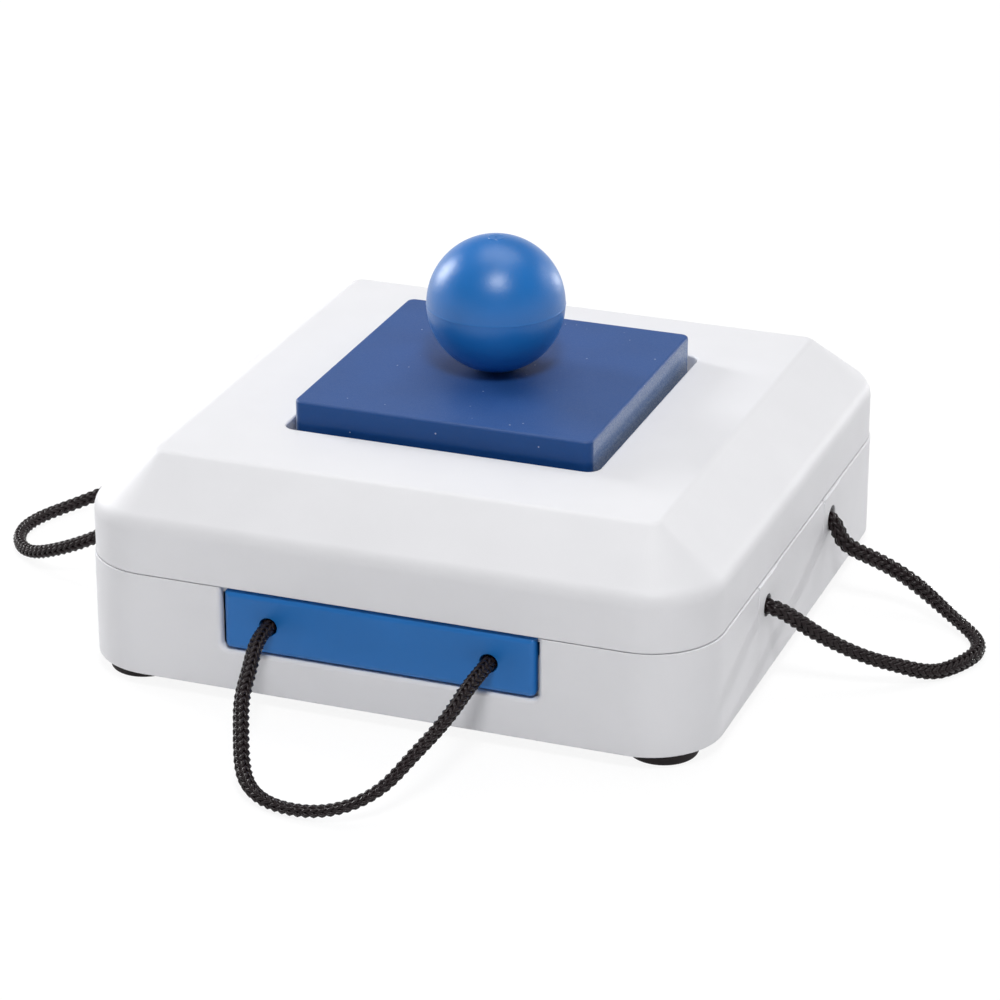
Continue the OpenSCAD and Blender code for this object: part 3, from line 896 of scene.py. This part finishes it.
ball_top = raw("blue_ball_upper", spin(upper, steps=96, closed=True))
finish_piece(ball_top, knob_blue, "lid", ["ball_upper_half"])
ball_low = raw("blue_ball_lower", spin(lower, steps=96, closed=True))
finish_piece(ball_low, knob_blue, "lid", ["ball_lower_half"])


# Blue drawer
EDGE_R = 2.2
EDGE_STEPS = 9
TOP_CORNER = 1.4
LOW_CORNER = 2.0
LEAST_CORNER = 0.15
HOLE_FLARE = 0.25
TRAY_HALF = (53.1, 59.9)
TRAY_Y = -45.9
TRAY_FLOOR = 22.0
TRAY_TOP = 37.6
TRAY_WALL = 2.0
TRAY_HUB = 50.0
TRAY_CORNER = 3.0


def panel_ring(inset, y, steps=6):
    """Outline of the drawer's front, seen from the front, with smaller corners at the top."""
    x, low, high = DRAWER_HALF - inset, DRAWER_Z + inset, DRAWER_TOP - inset
    corners = ((1, high, TOP_CORNER), (-1, high, TOP_CORNER), (-1, low, LOW_CORNER), (1, low, LOW_CORNER))
    points = []
    for turn, (sx, z, r) in enumerate(corners):
        r = max(r - inset, LEAST_CORNER)
        cz = z - r if turn < 2 else z + r
        for k in range(steps + 1):
            a = math.radians(90 * (turn + k / steps))
            points.append((sx * (x - r) + r * math.cos(a), y, cz + r * math.sin(a)))
    return points


panel_back = DRAWER_FRONT_T - HALF
back_edge = [(0.4, panel_back), (0.1, panel_back - 0.1), (0, panel_back - 0.4)]
front_arc = [
    (EDGE_R * (1 - math.cos(a)), EDGE_R * (1 - math.sin(a)) - HALF)
    for a in np.radians(np.linspace(0, 90, EDGE_STEPS))
]
drawer = raw("blue_drawer", loft([panel_ring(i, y) for i, y in [*back_edge, *front_arc]]))
for s in (-1, 1):
    middle = (s * CORD_AT, -HALF, DRAWER_CORD_Z)
    carve(drawer, hole(middle, (0, 1, 0), DRAWER_FRONT_T, DRAWER_HOLE_R, HOLE_FLARE))
tray_path = rounded_path([
    (TRAY_HUB, DRAWER_Z, 0), (0, DRAWER_Z, 1.2), (0, TRAY_TOP, 0.6), (TRAY_WALL, TRAY_TOP, 0.6),
    (TRAY_WALL, TRAY_FLOOR, 1.6), (TRAY_HUB, TRAY_FLOOR, 0),
], 5)
carve(drawer, loft([
    ring(TRAY_HALF[0] - i, TRAY_HALF[1] - i, max(TRAY_CORNER - i, 0.8), z, TRAY_Y, 8) for i, z in tray_path
]), "UNION")
finish_piece(drawer, drawer_blue, "drawer", ["drawer"])


# Rubber feet, each with a pin in the base's floor and a hollow middle below
PIN_R = 3.9
PIN_TOP = 7.2
HOLLOW_R = (3.5, 4.5, 5.0)
HOLLOW_H = 0.5

foot_path = rounded_path([
    (HOLLOW_R[0], HOLLOW_H, 0), (HOLLOW_R[1], HOLLOW_H, 0.2), (HOLLOW_R[2], 0.0, 0.2), (FOOT_R, 0.0, 1.0),
    (FOOT_R, FLOOR_GAP, 0.3), (PIN_R, FLOOR_GAP, 0), (PIN_R, PIN_TOP, 0),
], 6)
for word_y, sy in (("front", -1), ("rear", 1)):
    for word_x, sx in (("left", -1), ("right", 1)):
        foot_shape = spin(foot_path, (sx * FOOT_AT, sy * FOOT_AT, 0), steps=64)
        foot = raw(f"rubber_foot_{word_y}_{word_x}", foot_shape)
        finish_piece(foot, foot_black, "base", [f"foot_{word_y}_{word_x}"])


# Screws and washer keep their solids
for name in ("case_screws", "knob_screw", "knob_washer"):
    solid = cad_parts[name]
    solid.data.materials.clear()
    solid.data.materials.append(screw_zinc)


# Floor, lamps and surroundings
FLOOR_HALF = 6000
FLOOR_SHARE = 0.85
SKY_LIGHT = 0.16

# The floor's glow at two distances, and the sky's level in reflections at two heights
GLOW = (1.05, 1.20)
GLOW_AT = (0.6, 1.6)
SKY_SHINE = (1.0, 0.3)
SKY_SHINE_AT = (0.1, 0.4)


def white_floor():
    """A white floor that looks white from afar and keeps the object's shadow."""
    made, nodes, links, shader = material("floor_white")
    shader.inputs["Base Color"].default_value = (0.86, 0.86, 0.87, 1)
    shader.inputs["Roughness"].default_value = 0.7
    glow = nodes.new("ShaderNodeEmission")
    place = nodes.new("ShaderNodeTexCoord")
    reach = node(nodes, "ShaderNodeVectorMath", operation="LENGTH")
    links.new(place.outputs["Object"], reach.inputs[0])
    links.new(spread(nodes, links, reach.outputs["Value"], *GLOW, *GLOW_AT), glow.inputs["Strength"])
    path = nodes.new("ShaderNodeLightPath")
    seen = combine(nodes, links, "MAXIMUM", path.outputs["Is Camera Ray"], path.outputs["Is Glossy Ray"])
    share = node(nodes, "ShaderNodeMath", operation="MULTIPLY")
    share.inputs[1].default_value = FLOOR_SHARE
    links.new(seen, share.inputs[0])
    both = nodes.new("ShaderNodeMixShader")
    links.new(share.outputs[0], both.inputs[0])
    links.new(shader.outputs[0], both.inputs[1])
    links.new(glow.outputs[0], both.inputs[2])
    links.new(both.outputs[0], nodes["Material Output"].inputs["Surface"])
    return made


floor_corners = [(sx * FLOOR_HALF, sy * FLOOR_HALF, 0) for sx, sy in ((-1, -1), (1, -1), (1, 1), (-1, 1))]
floor = raw("floor", (floor_corners, [(0, 1, 2, 3)]))
floor.data.materials.append(white_floor())

world = bpy.data.worlds.new("studio")
scene.world = world
world.use_nodes = True
sky, sky_links = world.node_tree.nodes, world.node_tree.links
sky_path = sky.new("ShaderNodeLightPath")
sky_seen = sky_path.outputs["Is Camera Ray"]
for ray in ("Is Glossy Ray", "Is Transmission Ray"):
    sky_seen = combine(sky, sky_links, "MAXIMUM", sky_seen, sky_path.outputs[ray])
sky_place = sky.new("ShaderNodeTexCoord")
sky_axes = sky.new("ShaderNodeSeparateXYZ")
sky_links.new(sky_place.outputs["Generated"], sky_axes.inputs[0])
sky_level = node(sky, "ShaderNodeMapRange")
sky_level.inputs["To Min"].default_value = SKY_LIGHT
sky_links.new(sky_seen, sky_level.inputs["Value"])
sky_shine = spread(sky, sky_links, sky_axes.outputs["Z"], *SKY_SHINE, *SKY_SHINE_AT)
sky_links.new(sky_shine, sky_level.inputs["To Max"])
sky_links.new(sky_level.outputs["Result"], sky["Background"].inputs["Strength"])
sky["Background"].inputs["Color"].default_value = (1, 1, 1, 1)

# The lamps' aim, and the way to the back lamps, which throw the cord's sharp shadows
LAMP_AIM = Vector((0, 0, 0.06))
BACK = (0.359, 0.933, 0.015)


def lamp(name, direction, distance, size, power, size_y=None, roll=0):
    """A soft lamp in a direction from the object's middle, turned towards it."""
    light = bpy.data.lights.new(name, "AREA")
    light.shape = "RECTANGLE" if size_y else "DISK"
    light.size = size
    if size_y:
        light.size_y = size_y
    light.energy = power
    obj = bpy.data.objects.new(name, light)
    way = Vector(direction).normalized()
    obj.location = LAMP_AIM + way * distance
    turn = (-way).to_track_quat("-Z", "Y") @ Quaternion((0, 0, 1), math.radians(roll))
    obj.rotation_euler = turn.to_euler()
    scene.collection.objects.link(obj)
    return obj


lamp("overhead", (-0.02, 0.27, 0.95), distance=1.5, size=1.2, size_y=0.95, power=8.6)
lamp("left_box", (-0.90, 0.27, 0.34), distance=1.4, size=0.34, size_y=0.55, power=9.8)
lamp("front_disc", (0.23, -0.50, 0.84), distance=1.6, size=0.40, power=12.4)

# The larger share of the back light is kept out of reflections
back_strip = lamp("back_strip", BACK, distance=1.8, size=0.05, size_y=0.03, power=5.4, roll=34)
back_strip.visible_glossy = False
lamp("back_glint", BACK, distance=1.8, size=0.05, size_y=0.03, power=2.8, roll=34)

lamp("right_fill", (0.62, 0.70, 0.36), distance=1.8, size=0.9, size_y=0.5, power=2.8)
